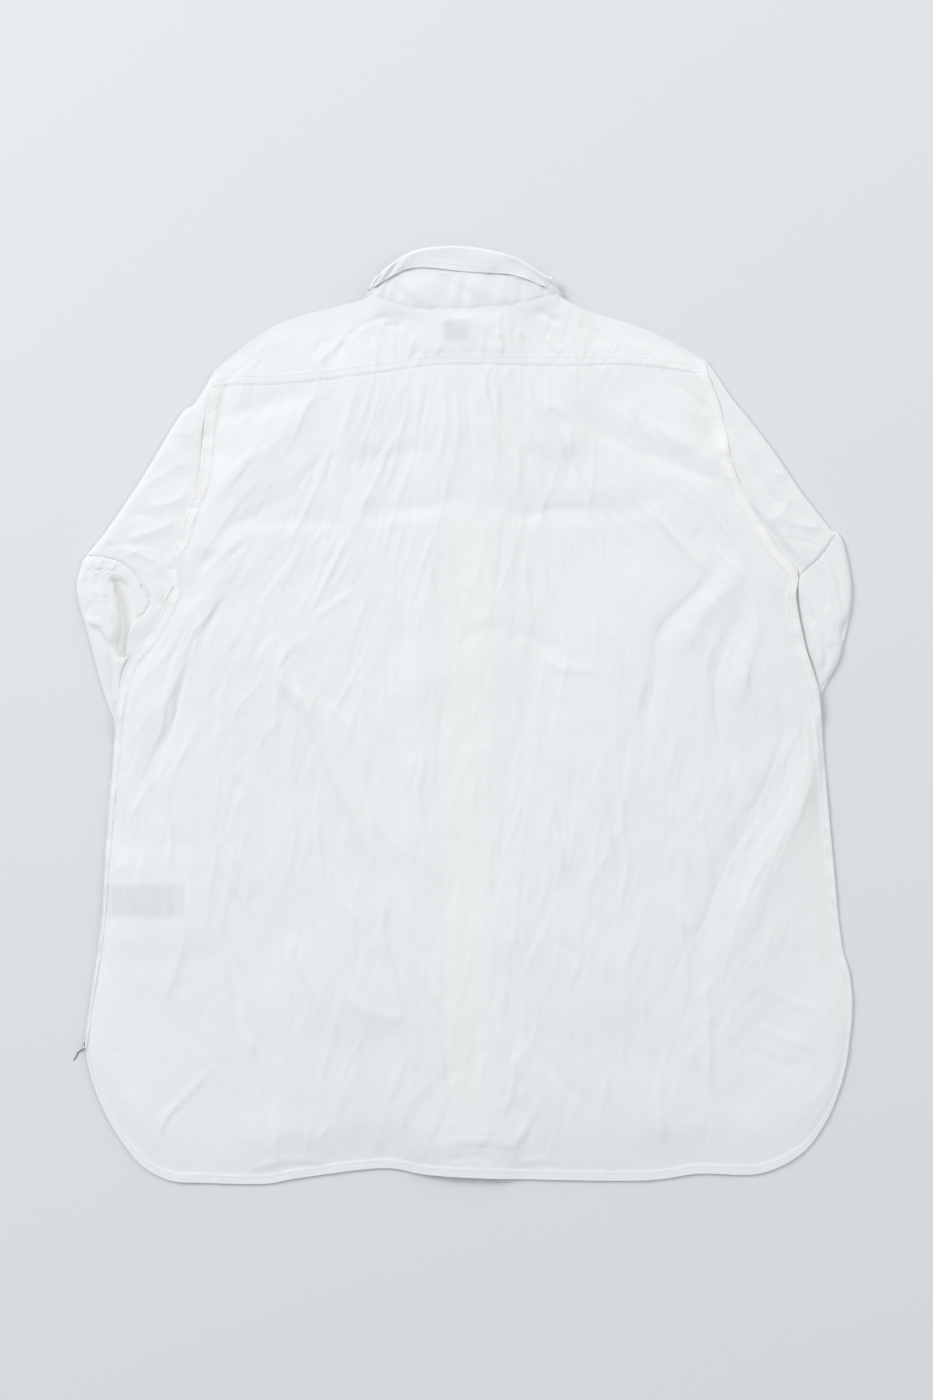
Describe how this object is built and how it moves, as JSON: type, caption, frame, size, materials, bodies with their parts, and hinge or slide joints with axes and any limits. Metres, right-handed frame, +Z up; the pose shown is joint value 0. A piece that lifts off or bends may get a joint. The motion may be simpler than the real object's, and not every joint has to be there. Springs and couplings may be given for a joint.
{
  "type": "work shirt laid flat",
  "caption": "white cotton long-sleeved work shirt lying face down, sleeves bent and tucked under the body",
  "frame": {"origin": "on the surface the shirt lies on, under the middle of its outline", "axes": "+Z up from the surface, +Y from hem to collar, +X towards the wearer's right side, since the shirt lies face down"},
  "size_m": [0.6884, 0.832, 0.0228],
  "materials": {
    "cotton": "thin, slightly sheer washed cotton plain weave, matt",
    "label_tape": "plain woven tape, smooth",
    "button_resin": "white cast resin, soft gloss"
  },
  "bodies": {
    "root": {"back": "cotton", "yoke": "cotton", "front_left": "cotton", "front_right": "cotton", "placket": "cotton", "collar_stand": "cotton", "collar_leaf": "cotton", "sleeve_left": "cotton", "sleeve_right": "cotton", "cuff_left": "cotton", "cuff_right": "cotton", "care_label": "label_tape", "neck_label": "label_tape", "button_front_1": "button_resin", "button_front_2": "button_resin", "button_front_3": "button_resin", "button_front_4": "button_resin", "button_front_5": "button_resin", "button_front_6": "button_resin", "button_collar": "button_resin", "button_cuff_left": "button_resin", "button_cuff_right": "button_resin"}
  },
  "joints": []
}
